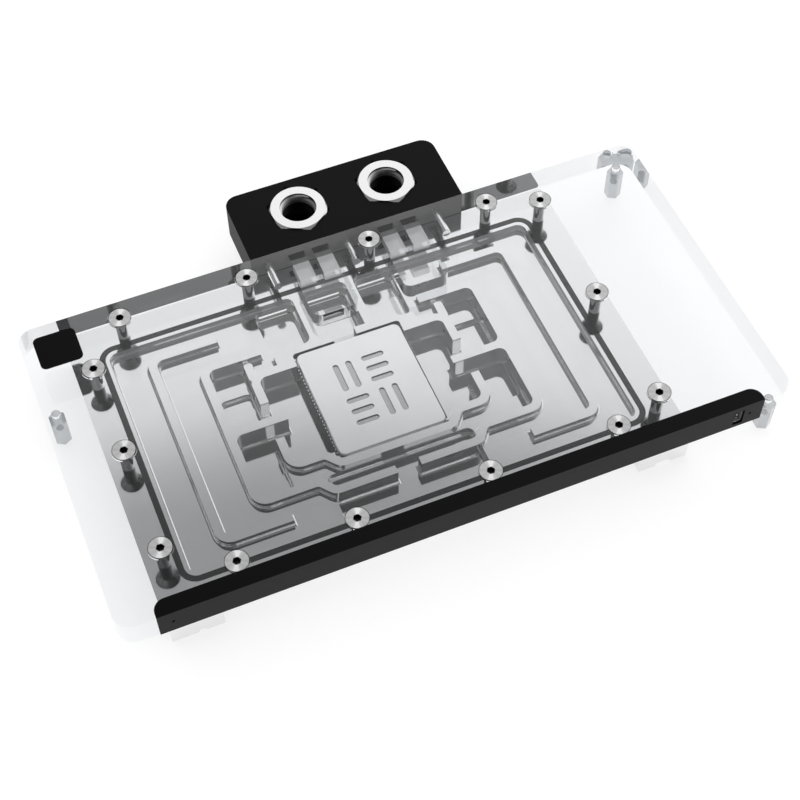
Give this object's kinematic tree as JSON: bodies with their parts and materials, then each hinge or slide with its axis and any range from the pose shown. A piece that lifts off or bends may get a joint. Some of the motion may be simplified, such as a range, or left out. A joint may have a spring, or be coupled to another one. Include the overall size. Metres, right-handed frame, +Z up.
{
  "type": "liquid cooling cold plate",
  "caption": "Flat cold plate for a processor card: nickel-plated base with a milled flow chamber under a clear acrylic cover, black terminal with threaded ports, black light strip.",
  "frame": {"origin": "centre of the processor pedestal, on its contact face", "axes": "+X along the card towards the window of the light strip's socket, +Y from the light strip to the ports, +Z up from the board through the clear cover"},
  "size_m": [0.23, 0.1506, 0.0255],
  "materials": {
    "nickel_plate": "polished nickel plating over copper",
    "jet_steel": "brushed stainless steel",
    "seal_rubber": "matt black",
    "clear_acrylic": "polished clear acrylic",
    "screw_steel": "radially brushed heads",
    "black_acetal": "machined matt black",
    "nickel_brass": "satin nickel plating",
    "terminal_screw_steel": "plain steel",
    "black_aluminium": "satin black",
    "black_screw": "black oxide",
    "white_board": "white solder mask",
    "light_resin": "milky resin",
    "socket_plastic": "moulded",
    "pin_brass": "plated",
    "badge_plastic": "gloss black",
    "clear_post": "clear nylon"
  },
  "bodies": {
    "root": {"cold_plate": "nickel_plate", "jet_plate": "jet_steel", "perimeter_seal": "seal_rubber", "terminal_seal_left": "seal_rubber", "terminal_seal_right": "seal_rubber", "cover_plate": "clear_acrylic", "cover_screws": "screw_steel", "terminal_block": "black_acetal", "port_insert_left": "nickel_brass", "port_insert_right": "nickel_brass", "terminal_screws": "terminal_screw_steel", "light_cover": "black_aluminium", "rail_screws": "black_screw", "led_board": "white_board", "led_chips": "light_resin", "led_connector": "socket_plastic", "connector_pins": "pin_brass", "badge": "badge_plastic", "standoff_left": "clear_post", "standoff_back": "clear_post", "standoff_front": "clear_post"}
  },
  "joints": []
}
